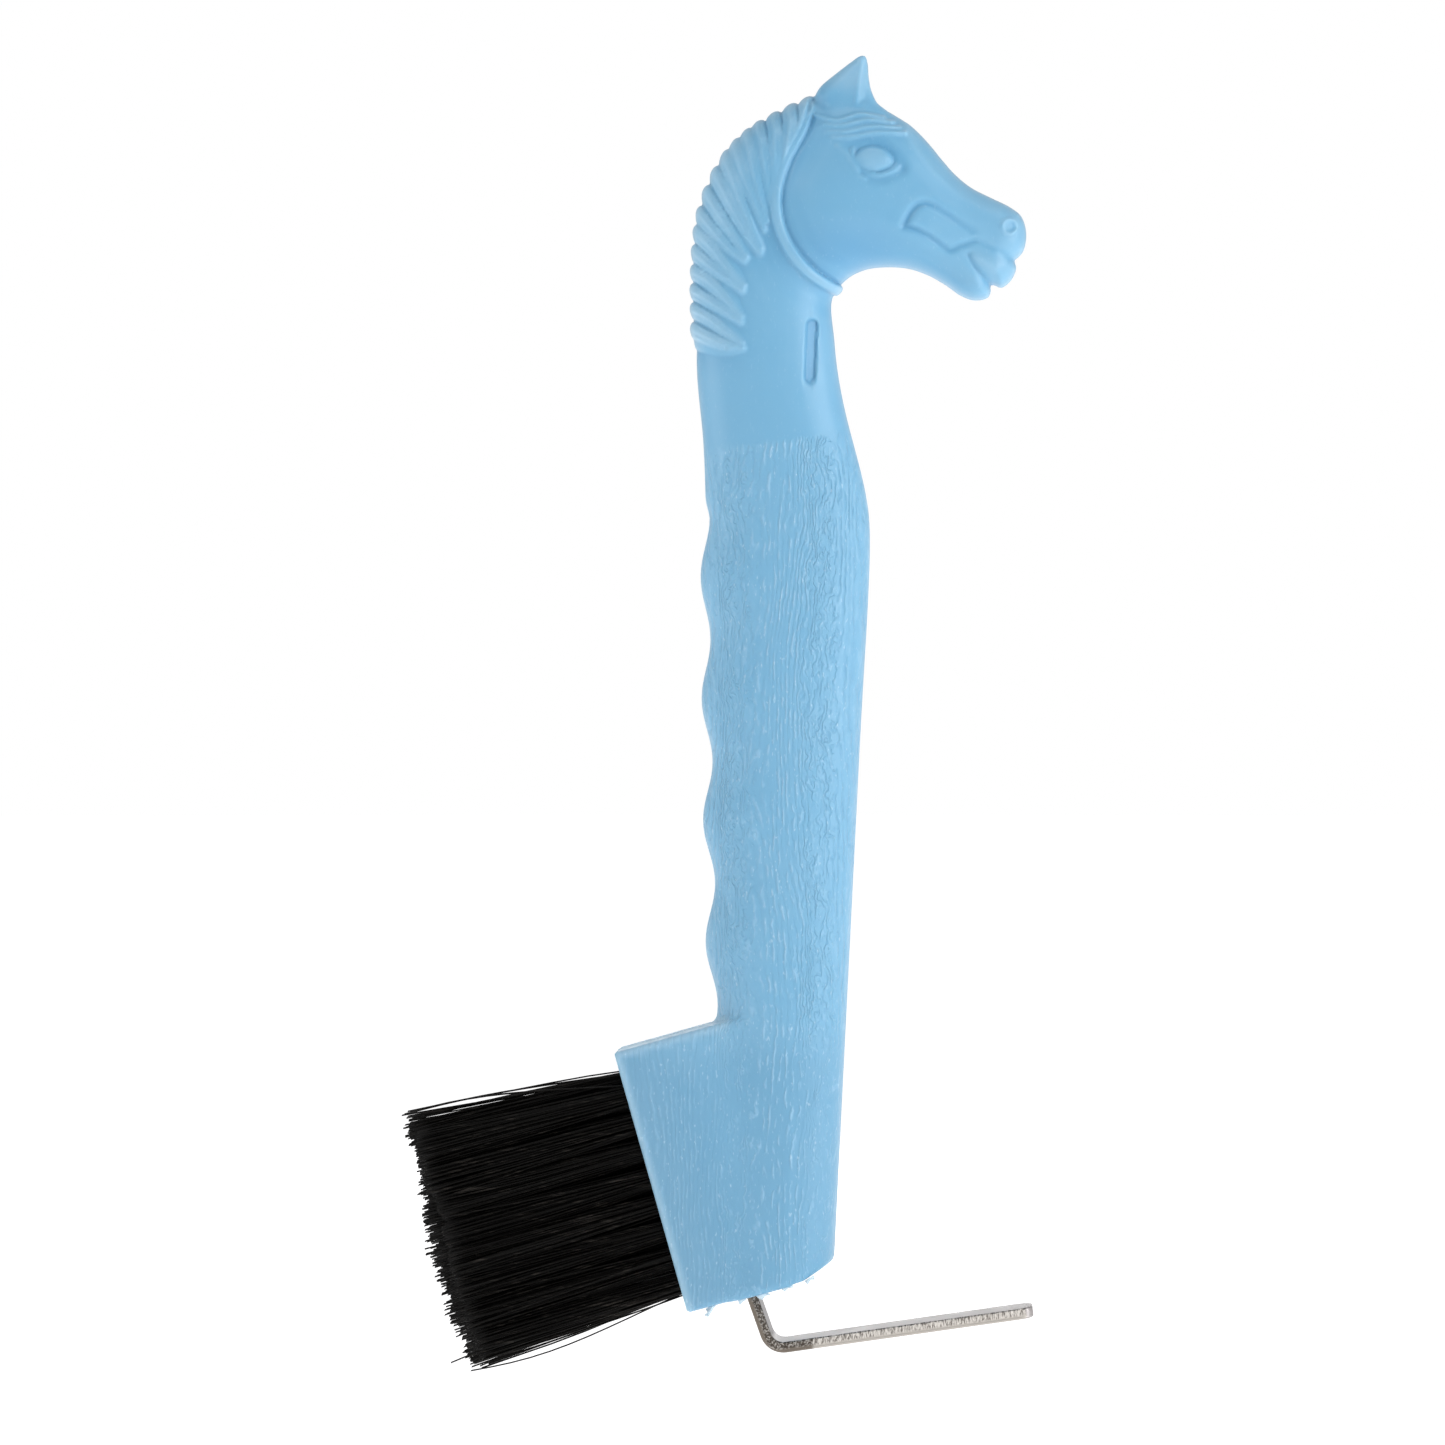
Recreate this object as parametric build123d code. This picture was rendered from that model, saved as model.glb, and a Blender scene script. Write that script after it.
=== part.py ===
from build123d import *
import math
import os

# A horse-head hoof pick with a side brush, upright: +Z runs from the steel pick up to the
# horse's ears, +X points where the horse looks and the brush faces -X. The handle is the
# same on both sides of the XZ plane. The origin is the middle of the finger grip.

# ---- driving dimensions, millimetres and degrees ----

# Stem: an oval bar with four shallow finger bumps on the brush side. It runs on down
# through the brush block and forms the block's rounded front edge.
FINGER_PITCH = 20.5
FINGER_RISE = 0.8
FIRST_FINGER_Z = 28.7
SECTIONS_PER_FINGER = 4
STEM_BACK_X = -12.2
STEM_FRONT_X = 14.0
STEM_FRONT_SLOPE = 0.05
STEM_HALF_DEPTH = 8.9
STEM_SHOULDER_Z = 39.0
STEM_SHOULDER_SLOPE = 0.24
NECK_TAPER = 0.05
FINGERS_TOP_Z = 42.0
FINGERS_END_Z = -44.0
DEPTH_TAPER = 0.05
LEAST_HALF_DEPTH = 8.4
STEM_END_Z = -90.0

# Brush block, leaning with the brush.
BRUSH_TILT = 15.8
BLOCK_HALF_DEPTH = 8.0
BLOCK_FACE_LENGTH = 44.9
BLOCK_LOW_CORNER = (-15.9, -93.5)
BLOCK_TOE = (3.3, -88.2)
BLOCK_HEEL = (8.2, -85.2)
BLOCK_INNER_X = 0.5
BLOCK_EDGE_RADIUS = 0.8

# Bristles: rows across the handle, each row a line of tufts along the brush face.
TUFT_ROWS = 3
TUFTS_PER_ROW = 8
TUFT_PITCH = 4.64
TUFT_ROW_PITCH = 4.7
TUFT_FAN = 2.4
TUFT_ROW_SPLAY = 1.6
TUFT_LENGTH = 37.7
TUFT_ROOT_RADIUS = 1.48
TUFT_TIP_RADIUS = 2.45
HOLE_RADIUS = 1.5
HOLE_DEPTH = 7.5
FACE_TO_FIRST_TUFT = 4.6
ROW_STAGGER = 2.32

# Flat wire anchor driven across each hole's bottom.
ANCHOR_LENGTH = 3.6
ANCHOR_HEIGHT = 1.6
ANCHOR_THICKNESS = 0.35
ANCHOR_ABOVE_BOTTOM = 1.0

# Pick: one steel strip with a hidden tang, a tight bend and a straight arm.
STRIP_WIDTH = 8.0
STRIP_THICKNESS = 1.8
STRIP_EDGE_RADIUS = 0.3
SHANK_LEAN = 19.5
SHANK_START = (-5.2, -91.2)
SHANK_LENGTH = 9.2
ARM_RISE = 8.4
ARM_LENGTH = 44.1
BEND_RADIUS = 2.2
TIP_CORNER_RADIUS = 2.2
TANG_LENGTH = 24.0
TANG_NOTCH_DEPTH = 1.2
TANG_NOTCH_HEIGHT = 4.0
TANG_HOLE_RADIUS = 1.5

# Horse's head and neck: sections of a loft, each (x, z, lean of its axis from
# vertical, half width across the axis, half depth).
NECK_SECTIONS = [
    (-3.4, 66.0, 2.0, 11.6, 8.0),
    (-3.7, 76.0, 6.0, 11.7, 8.0),
    (-3.0, 86.0, 20.0, 11.6, 7.6),
    (0.6, 95.5, 38.0, 11.4, 7.2),
    (6.8, 101.2, 62.0, 7.8, 6.0),
    (13.6, 102.6, 90.0, 4.6, 3.6),
]
FACE_SECTIONS = [
    (8.0, 93.6, 106.0, 13.2, 8.6),
    (15.0, 92.6, 109.0, 12.8, 8.8),
    (21.6, 90.4, 112.0, 10.6, 7.8),
    (28.2, 87.3, 113.0, 8.0, 6.4),
    (34.4, 84.6, 112.0, 5.6, 5.2),
]
MUZZLE_CENTRE = (35.4, 85.3)
MUZZLE_RADII = (4.8, 5.2, 5.0)
LIP_CENTRE = (34.8, 80.3)
LIP_RADII = (3.7, 4.2, 3.0)
CHIN_CENTRE = (31.6, 79.0)
CHIN_RADII = (4.6, 4.4, 3.8)
CHEEK_CENTRE = (8.6, 91.6)
CHEEK_RADII = (12.0, 9.6, 12.6)
EAR_BASE = (10.5, 105.4)
EAR_TIP = (13.4, 116.0)
EAR_RADII = (5.6, 3.2)
EAR_TIP_RADIUS = 0.6
EAR_SPACING = 2.6
EYE_CENTRE = (15.0, 98.8)
EYE_RADII = (2.2, 1.6, 1.4)
EYE_Y = 7.4
NOSTRIL_CENTRE = (37.7, 87.4)
NOSTRIL_RADIUS = 0.9
NOSTRIL_Y = 5.2
NOSTRIL_DEPTH = 2.0

# Mane: rounded locks along the crest, from behind the ears to the nape.
MANE_LOCKS = 16
MANE_LINE = [(4.4, 106.6), (-5.6, 101.6), (-11.4, 91.8), (-12.8, 81.0), (-12.2, 70.0)]
LOCK_RADIUS = 2.9
LOCK_HALF_DEPTH = 4.8

# Blind slot in each side of the neck.
NECK_SLOT_LENGTH = 10.8
NECK_SLOT_WIDTH = 1.8
NECK_SLOT_CENTRE = (4.5, 66.6)
NECK_SLOT_SURFACE_Y = 6.0
NECK_SLOT_LEAN = 2.0

# Plain values that follow from the driving dimensions.
TILT = math.radians(BRUSH_TILT)
OUT_OF_FACE = Vector(-math.cos(TILT), 0, -math.sin(TILT))
UP_THE_FACE = Vector(-math.sin(TILT), 0, math.cos(TILT))
FACE_LOW = Vector(BLOCK_LOW_CORNER[0], 0, BLOCK_LOW_CORNER[1])


def section_plane(x, z, lean):
    """A plane across an axis that leans from vertical towards +X."""
    angle = math.radians(lean)
    axis = Vector(math.sin(angle), 0, math.cos(angle))
    across = Vector(math.cos(angle), 0, -math.sin(angle))
    return Plane(origin=(x, 0, z), x_dir=across, z_dir=axis)


def oval_loft(sections):
    """A smooth solid through oval sections."""
    faces = [
        section_plane(x, z, lean) * Ellipse(half_width, half_depth)
        for x, z, lean, half_width, half_depth in sections
    ]
    return loft(faces)


def ellipsoid(centre, radii, y=0.0):
    """An ellipsoid at a point of the XZ plane, radii along X, Y and Z."""
    ball = scale(Sphere(1), by=radii)
    return Pos(centre[0], y, centre[1]) * ball


def stem_section(z):
    """The oval across the stem at one height."""
    turns = (FIRST_FINGER_Z - z) / FINGER_PITCH
    in_fingers = FINGERS_END_Z < z < FINGERS_TOP_Z
    rise = FINGER_RISE * math.cos(2 * math.pi * turns) if in_fingers else 0.0
    front = STEM_FRONT_X - STEM_FRONT_SLOPE * max(0.0, FIRST_FINGER_Z - z)
    front -= STEM_SHOULDER_SLOPE * max(0.0, z - STEM_SHOULDER_Z)
    back = STEM_BACK_X - rise - NECK_TAPER * max(0.0, z - FIRST_FINGER_Z)
    half_depth = STEM_HALF_DEPTH - DEPTH_TAPER * max(0.0, FINGERS_END_Z - z, z - FIRST_FINGER_Z)
    half_depth = max(LEAST_HALF_DEPTH, half_depth)
    return ((front + back) / 2, z, 0.0, (front - back) / 2, half_depth)


def make_stem():
    """The oval bar from the neck down through the brush block, with its slanted end."""
    spacing = FINGER_PITCH / SECTIONS_PER_FINGER
    count = math.floor((FIRST_FINGER_Z + FINGER_PITCH - STEM_END_Z) / spacing)
    heights = [FIRST_FINGER_Z + FINGER_PITCH - index * spacing for index in range(count + 1)]
    sections = [stem_section(z) for z in reversed(heights)]
    stem = oval_loft(sections + NECK_SECTIONS)
    under = 30.0
    below = Polyline(
        BLOCK_LOW_CORNER,
        BLOCK_TOE,
        BLOCK_HEEL,
        (BLOCK_HEEL[0] + under, BLOCK_HEEL[1]),
        (BLOCK_HEEL[0] + under, BLOCK_LOW_CORNER[1] - under),
        (BLOCK_LOW_CORNER[0], BLOCK_LOW_CORNER[1] - under),
        close=True,
    )
    return stem - extrude(Plane.XZ * make_face(below), under, both=True)


def make_block():
    """The flat-sided brush block, which the stem runs through."""
    face_high = FACE_LOW + UP_THE_FACE * BLOCK_FACE_LENGTH
    top_length = (BLOCK_INNER_X - face_high.X) / math.cos(TILT)
    top_inner = face_high - OUT_OF_FACE * top_length
    toe_slope = (BLOCK_TOE[1] - FACE_LOW.Z) / (BLOCK_TOE[0] - FACE_LOW.X)
    outline = Polyline(
        (FACE_LOW.X, FACE_LOW.Z),
        (face_high.X, face_high.Z),
        (top_inner.X, top_inner.Z),
        (BLOCK_INNER_X, FACE_LOW.Z + toe_slope * (BLOCK_INNER_X - FACE_LOW.X)),
        close=True,
    )
    block = extrude(Plane.XZ * make_face(outline), BLOCK_HALF_DEPTH, both=True)
    side_edges = block.edges().filter_by(Axis.Y, reverse=True)
    outer_edges = side_edges.filter_by(lambda edge: edge.center().X < BLOCK_INNER_X - 1)
    return fillet(outer_edges, BLOCK_EDGE_RADIUS)


def make_head():
    """Neck crest, face, cheek, chin, ears, eyes and mane."""
    head = oval_loft(FACE_SECTIONS)
    head += ellipsoid(CHEEK_CENTRE, CHEEK_RADII)
    head += ellipsoid(MUZZLE_CENTRE, MUZZLE_RADII)
    head += ellipsoid(LIP_CENTRE, LIP_RADII)
    head += ellipsoid(CHIN_CENTRE, CHIN_RADII)
    for side in (-1, 1):
        ear_base = Pos(EAR_BASE[0], side * EAR_SPACING, EAR_BASE[1])
        ear_tip = Pos(EAR_TIP[0], side * EAR_SPACING, EAR_TIP[1])
        head += loft([ear_base * Ellipse(*EAR_RADII), ear_tip * Circle(EAR_TIP_RADIUS)])
        head += ellipsoid(EYE_CENTRE, EYE_RADII, side * EYE_Y)
    return head


def make_mane():
    """Overlapping rounded locks along a curved crest line."""
    crest = Spline([(x, 0, z) for x, z in MANE_LINE])
    locks = []
    for index in range(MANE_LOCKS):
        point = crest @ (index / (MANE_LOCKS - 1))
        radii = (LOCK_RADIUS, LOCK_HALF_DEPTH, LOCK_RADIUS)
        locks.append(ellipsoid((point.X, point.Z), radii))
    return locks


def tuft_axis(row, place):
    """The line of one tuft: its middle on the brush face and its direction outwards."""
    off_row = row - (TUFT_ROWS - 1) / 2
    along = FACE_TO_FIRST_TUFT + place * TUFT_PITCH + (row % 2) * ROW_STAGGER
    point = FACE_LOW + UP_THE_FACE * along + Vector(0, off_row * TUFT_ROW_PITCH, 0)
    fan = math.radians(TUFT_FAN * (2 * along / BLOCK_FACE_LENGTH - 1))
    splay = math.radians(TUFT_ROW_SPLAY * off_row)
    direction = OUT_OF_FACE + UP_THE_FACE * math.tan(fan) + Vector(0, math.tan(splay), 0)
    return Plane(origin=point, x_dir=(0, 1, 0), z_dir=direction)


def make_tuft(plane):
    """A bundle of bristles: straight in its hole, spreading outside it."""
    root = plane.offset(-HOLE_DEPTH) * extrude(Circle(TUFT_ROOT_RADIUS), HOLE_DEPTH)
    spread = plane * loft(
        [Circle(TUFT_ROOT_RADIUS), Pos(0, 0, TUFT_LENGTH) * Circle(TUFT_TIP_RADIUS)]
    )
    return root + spread


def make_hole(plane):
    """The blind hole for one tuft."""
    past_face = 2.0
    return plane.offset(-HOLE_DEPTH) * extrude(Circle(HOLE_RADIUS), HOLE_DEPTH + past_face)


def make_anchor(plane):
    """A flat piece of wire across the bottom of one hole, biting into its walls."""
    middle = -HOLE_DEPTH + ANCHOR_ABOVE_BOTTOM + ANCHOR_HEIGHT / 2
    return plane.offset(middle) * Box(ANCHOR_THICKNESS, ANCHOR_LENGTH, ANCHOR_HEIGHT)


def make_pick():
    """The steel strip: notched tang, shank, bend and arm with a rounded tip."""
    lean = math.radians(SHANK_LEAN)
    rise = math.radians(ARM_RISE)
    down = Vector(math.sin(lean), -math.cos(lean))
    ahead = Vector(math.cos(rise), math.sin(rise))
    half = STRIP_THICKNESS / 2
    shank_side = Vector(math.cos(lean), math.sin(lean)) * half
    arm_side = Vector(-math.sin(rise), math.cos(rise)) * half
    start = Vector(*SHANK_START)
    tang_end = start - down * TANG_LENGTH
    corner = start + down * SHANK_LENGTH
    tip = corner + ahead * ARM_LENGTH
    mitre = (shank_side + arm_side) / (1 + math.sin(lean - rise))
    outline = Polyline(
        tang_end + shank_side,
        corner + mitre,
        tip + arm_side,
        tip - arm_side,
        corner - mitre,
        tang_end - shank_side,
        close=True,
    )
    strip = extrude(Plane.XZ * make_face(outline), STRIP_WIDTH / 2, both=True)
    for side, radius in ((1, BEND_RADIUS), (-1, BEND_RADIUS + STRIP_THICKNESS)):
        mitre_point = corner + mitre * side
        across = strip.edges().filter_by(Axis.Y)
        bend_edge = across.sort_by_distance((mitre_point.X, 0, mitre_point.Y))[0]
        strip = fillet(bend_edge, radius)
    tip_corners = strip.faces().sort_by(Axis.X)[-1].edges().filter_by(Axis.Y, reverse=True)
    strip = fillet(tip_corners, TIP_CORNER_RADIUS)
    outside_faces = strip.faces().sort_by(Axis.Y)
    strip = fillet(outside_faces[0].edges() + outside_faces[-1].edges(), STRIP_EDGE_RADIUS)
    tang_plane = section_plane(start.X, start.Y, -SHANK_LEAN)
    notch_height = TANG_LENGTH / 2
    for side in (-1, 1):
        notch = Box(3 * STRIP_THICKNESS, 2 * TANG_NOTCH_DEPTH, TANG_NOTCH_HEIGHT)
        strip -= tang_plane * Pos(0, side * STRIP_WIDTH / 2, notch_height) * notch
    key_hole = Rot(0, 90, 0) * Cylinder(TANG_HOLE_RADIUS, 3 * STRIP_THICKNESS)
    strip -= tang_plane * Pos(0, 0, notch_height + TANG_NOTCH_HEIGHT) * key_hole
    return strip


def make_handle(pick, holes, anchors):
    """The whole moulding, with the tang's slot, the tuft holes and the anchors' cuts."""
    handle = make_stem() + make_block()
    handle += make_head()
    handle += make_mane()
    nostril_y = NOSTRIL_Y + NOSTRIL_DEPTH
    for side in (-1, 1):
        nostril = Rot(90, 0, 0) * Cylinder(NOSTRIL_RADIUS, 2 * NOSTRIL_DEPTH)
        handle -= Pos(NOSTRIL_CENTRE[0], side * nostril_y, NOSTRIL_CENTRE[1]) * nostril
        slot_depth = 2 * (STEM_HALF_DEPTH - NECK_SLOT_SURFACE_Y)
        outline = Rot(0, 0, 90 - NECK_SLOT_LEAN) * SlotOverall(NECK_SLOT_LENGTH, NECK_SLOT_WIDTH)
        slot_plane = Plane(
            origin=(NECK_SLOT_CENTRE[0], side * STEM_HALF_DEPTH, NECK_SLOT_CENTRE[1]),
            x_dir=(1, 0, 0),
            z_dir=(0, -side, 0),
        )
        handle -= slot_plane * extrude(outline, slot_depth)
    handle -= [pick] + holes + anchors
    return handle


def write(name, shape):
    """One STEP file for one separate piece, or for a group of identical pieces."""
    shape.label = name
    export_step(shape, f"parts/{name}.step")


os.makedirs("parts", exist_ok=True)

tuft_planes = {
    f"tuft_row{row + 1}_{place + 1}": tuft_axis(row, place)
    for row in range(TUFT_ROWS)
    for place in range(TUFTS_PER_ROW)
}
holes = [make_hole(plane) for plane in tuft_planes.values()]
anchors = [make_anchor(plane) for plane in tuft_planes.values()]
pick = make_pick()
handle = make_handle(pick, holes, anchors)

write("handle", handle)
write("pick", pick)
write("tuft_anchors", Compound(children=anchors))
for (name, plane), anchor in zip(tuft_planes.items(), anchors):
    write(name, make_tuft(plane) - anchor)
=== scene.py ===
"""Looks of a horse-head hoof pick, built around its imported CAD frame.

The handle is a moulding made for a mould that opens across it, so its surface is worked
out as an implicit form: an outline seen from the side, a depth, and a relief map of the
mane, eye, mouth and other marks. Lengths inside the sculpting code are millimetres in the
part's own frame (x towards the horse's nose, z up); the meshes are scaled to metres.
"""

import math

import bpy
import numpy as np
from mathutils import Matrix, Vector


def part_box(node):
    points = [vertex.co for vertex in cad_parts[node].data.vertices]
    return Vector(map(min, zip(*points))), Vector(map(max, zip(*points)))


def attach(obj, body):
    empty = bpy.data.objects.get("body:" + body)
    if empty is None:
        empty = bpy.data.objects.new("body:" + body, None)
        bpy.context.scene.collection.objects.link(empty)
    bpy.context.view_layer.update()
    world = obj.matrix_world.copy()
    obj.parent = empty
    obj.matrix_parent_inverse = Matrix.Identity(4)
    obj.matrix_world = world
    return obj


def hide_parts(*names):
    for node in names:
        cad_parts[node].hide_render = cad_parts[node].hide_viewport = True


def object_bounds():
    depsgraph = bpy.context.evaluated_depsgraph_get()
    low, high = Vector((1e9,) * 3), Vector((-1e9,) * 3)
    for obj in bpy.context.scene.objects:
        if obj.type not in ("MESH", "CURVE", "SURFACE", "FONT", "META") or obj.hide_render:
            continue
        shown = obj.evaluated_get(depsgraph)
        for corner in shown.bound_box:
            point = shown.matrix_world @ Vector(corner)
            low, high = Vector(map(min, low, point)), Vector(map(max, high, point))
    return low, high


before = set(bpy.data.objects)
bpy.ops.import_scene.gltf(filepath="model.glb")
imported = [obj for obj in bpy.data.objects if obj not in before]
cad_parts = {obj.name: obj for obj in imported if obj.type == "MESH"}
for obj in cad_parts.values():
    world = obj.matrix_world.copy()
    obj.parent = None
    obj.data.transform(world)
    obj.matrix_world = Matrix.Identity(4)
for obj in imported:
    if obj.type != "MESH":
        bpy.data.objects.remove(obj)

CAD_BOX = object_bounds()
MM = 0.001
RNG_SEED = 7

# Camera: metres from the aim point, lens, and its turn and rise from straight in front.
CAMERA_DISTANCE = 0.90
CAMERA_LENS = 134.0
CAMERA_TURN, CAMERA_RAISE = math.radians(3.0), math.radians(0.5)
AIM = Vector((-0.0104, 0.0, 0.0046))


# ---------------------------------------------------------------- curves and maps

def smooth_line(points, per_span=10, closed=False):
    """A centripetal Catmull-Rom line through points of any dimension."""
    p = np.asarray(points, float)
    if closed:
        p = np.vstack([p[-1], p, p[0], p[1]])
    else:
        p = np.vstack([2 * p[0] - p[1], p, 2 * p[-1] - p[-2]])
    out = []
    for a, b, c, d in zip(p[:-3], p[1:-2], p[2:-1], p[3:]):
        knots = np.cumsum([0] + [max(math.dist(m, n), 1e-6) ** 0.5 for m, n in ((a, b), (b, c), (c, d))])
        t = np.linspace(knots[1], knots[2], per_span, endpoint=False)[:, None]

        def mix(m, n, low, high):
            return m * (high - t) / (high - low) + n * (t - low) / (high - low)

        ab, bc, cd = (mix(a, b, knots[0], knots[1]), mix(b, c, knots[1], knots[2]),
                      mix(c, d, knots[2], knots[3]))
        abc, bcd = mix(ab, bc, knots[0], knots[2]), mix(bc, cd, knots[1], knots[3])
        out.append(mix(abc, bcd, knots[1], knots[2]))
    if not closed:
        out.append(p[-2][None])
    return np.vstack(out)


def line_distance(x, z, line):
    """Distance to a polyline, and how far along it (0 to 1) the nearest point is."""
    steps = np.linalg.norm(np.diff(line, axis=0), axis=1)
    starts = np.concatenate([[0], np.cumsum(steps)])
    best = np.full(x.shape, 1e9)
    along = np.zeros(x.shape)
    for (ax, az), (bx, bz), start, step in zip(line[:-1], line[1:], starts, steps):
        ex, ez = bx - ax, bz - az
        t = np.clip(((x - ax) * ex + (z - az) * ez) / (step * step + 1e-12), 0, 1)
        d = (x - ax - t * ex) ** 2 + (z - az - t * ez) ** 2
        nearer = d < best
        best = np.where(nearer, d, best)
        along = np.where(nearer, start + t * step, along)
    return np.sqrt(best), along / starts[-1]


def inside(x, z, ring):
    """True where a point is inside a closed ring."""
    odd = np.zeros(x.shape, bool)
    for (ax, az), (bx, bz) in zip(ring, np.roll(ring, -1, axis=0)):
        crosses = (az > z) != (bz > z)
        at = ax + (z - az) * (bx - ax) / (bz - az + 1e-12)
        odd ^= crosses & (x < at)
    return odd


def ring_distance(x, z, ring):
    """Signed distance to a closed ring, negative inside."""
    d, _ = line_distance(x, z, np.vstack([ring, ring[:1]]))
    return np.where(inside(x, z, ring), -d, d)


def smoothstep(low, high, value):
    """0 at low, 1 at high and a smooth rise between."""
    t = np.clip((value - low) / (high - low), 0, 1)
    return t * t * (3 - 2 * t)


def smooth_min(a, b, k):
    """The smaller of two distances, rounded over a width k."""
    h = np.clip(0.5 + 0.5 * (b - a) / k, 0, 1)
    return b + (a - b) * h - k * h * (1 - h)


def smooth_max(a, b, k):
    """The larger of two distances, rounded over a width k."""
    return -smooth_min(-a, -b, k)


# ---------------------------------------------------------------- handle: driving shape

# Outline of head and neck from the side. It runs from the front of the neck along the
# jaw, the lips, the nose and the forehead to the mane's root line and down the nape.
HEAD_OUTLINE = [
    (13.6, 42.0), (12.5, 47.0), (10.4, 55.0), (8.9, 62.0), (8.2, 68.5), (7.8, 75.2),
    (9.4, 77.8), (11.4, 79.4), (14.0, 80.4), (17.4, 80.7), (20.8, 80.4), (24.0, 79.3),
    (27.0, 77.6), (29.6, 75.8), (31.9, 75.1), (33.9, 75.6),
    (34.7, 77.3), (36.2, 77.2), (37.7, 78.4), (38.5, 80.1), (38.6, 81.6), (39.8, 83.4),
    (40.2, 86.2), (39.4, 88.9), (37.6, 90.4), (34.4, 92.0), (31.1, 93.7), (28.4, 95.9),
    (26.1, 98.5), (23.9, 101.2), (21.2, 103.9), (18.2, 105.9), (15.6, 107.3), (11.8, 108.4),
    (7.5, 108.6), (4.0, 107.6), (0.2, 105.9), (-4.7, 103.2), (-8.7, 99.5), (-11.7, 94.6),
    (-13.5, 89.0), (-14.2, 83.0), (-14.4, 76.5), (-14.3, 70.5), (-14.6, 66.0), (-14.5, 62.0),
    (-13.9, 55.0), (-13.3, 47.0), (-13.2, 42.0),
]
# Half depth across the handle and the width of the rounding at places on head and neck:
# (x, z, half depth, rounding).
HEAD_DEPTHS = [
    (-3, 62, 8.0, 11.2), (-3, 72, 8.0, 10.8), (-2, 84, 7.9, 10.6), (9, 90, 9.5, 11.0),
    (-5, 96, 7.2, 9.0), (4, 104, 6.6, 7.0), (14, 103, 7.4, 7.0), (15, 97, 8.9, 9.0),
    (20, 86, 8.2, 7.6), (24, 94, 7.4, 7.0), (30, 86, 6.3, 6.4), (35, 87, 5.6, 5.2),
    (37, 80, 4.6, 3.2), (32, 78, 4.6, 3.4), (38, 85, 5.0, 4.2),
]
DEPTH_REACH = 5.0

# Stem edges as (z, x): the front edge, and the nape edge above the fingers.
STEM_FRONT = [
    (-95, 7.7), (-51, 9.9), (-15, 11.7), (5, 12.7), (25, 13.85), (34, 14.15), (39, 14.0), (43, 13.4),
    (47, 12.5), (51, 11.45), (55, 10.4), (59, 9.5), (63, 8.8), (67, 8.35), (75, 7.8),
]
STEM_BACK = [
    (-95, -11.2), (-44, -12.0), (-10, -12.7), (30, -13.2), (44, -13.2), (52, -13.55),
    (62, -14.5), (70, -14.7),
]
STEM_DEPTH = [(-95, 8.4), (-60, 8.4), (-40, 8.9), (30, 8.9), (50, 8.3), (66, 8.0), (75, 8.0)]
FINGER_PITCH = 20.4
FINGER_TOP = 28.9
FINGER_RISE = 0.9
STEM_POWER = 2.15

# Brush block, leaning with the brush.
BLOCK_LEAN = math.radians(15.8)
BLOCK_LOW = np.array([-15.9, -93.5])
BLOCK_FACE = 44.9
BLOCK_TOE = np.array([3.3, -88.2])
BLOCK_HEEL = np.array([8.2, -85.2])
BLOCK_HALF_DEPTH = 8.0
BLOCK_EDGE = 1.15

# Ears: one outline, on each side of the parting plane.
EAR_OUTLINE = [
    (5.2, 108.6), (5.9, 110.3), (8.4, 112.5), (11.4, 114.8), (12.6, 115.6), (13.4, 115.65), (13.8, 114.9),
    (14.0, 112.6), (14.5, 110.0), (15.5, 107.7), (17.0, 105.6), (13.0, 103.0), (7.0, 104.0),
]
EAR_CENTRE_Y = 2.3
EAR_BASE_DEPTH = 2.9
EAR_TIP_DEPTH = 1.1
EAR_ROUNDING = 2.6
EAR_FOLD = [(13.7, 114.2), (13.5, 111.4), (13.5, 108.2)]
EAR_LIP = [(13.0, 114.2), (12.5, 111.2), (12.1, 107.4)]

# Widths of the soft joins between the forms, and the seam the mould leaves.
TOE_JOIN, BLOCK_JOIN, EAR_JOIN = 0.9, 1.1, 1.1
SEAM_HEIGHT, SEAM_WIDTH = 0.10, 0.22

# Mane: the first, last and a few locks between, each a sweep of four points from the
# crest down the neck. The rest follow by interpolation.
MANE_LOCKS = 16
KEY_LOCKS = {
    0: [(3.7, 109.0), (3.4, 104.9), (1.6, 100.2), (-0.6, 96.6)],
    3: [(-4.8, 105.9), (-4.0, 101.8), (-3.2, 98.2), (-2.3, 94.6)],
    6: [(-10.4, 100.0), (-8.9, 95.8), (-6.4, 89.8), (-4.0, 84.0)],
    9: [(-14.8, 90.0), (-11.9, 86.5), (-9.0, 83.7), (-6.4, 81.7)],
    12: [(-16.2, 80.3), (-12.5, 77.8), (-9.9, 75.4), (-8.0, 73.2)],
    15: [(-15.9, 70.5), (-12.5, 68.8), (-9.9, 67.7), (-7.1, 67.0)],
}
# Where each lock ends; they run together two by two.
LOCK_TIPS = [
    (-0.8, 96.4), (-1.2, 94.6), (-2.1, 92.4), (-2.4, 91.4), (-3.0, 88.4), (-3.4, 87.0),
    (-3.9, 83.8), (-4.1, 83.2), (-6.4, 82.4), (-6.8, 81.8), (-6.9, 77.6), (-7.1, 76.8),
    (-7.3, 72.5), (-7.4, 71.6), (-7.2, 68.0), (-7.0, 67.2),
]
LOCK_WIDTH = 1.62
LOCK_HEIGHT = 1.45


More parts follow.
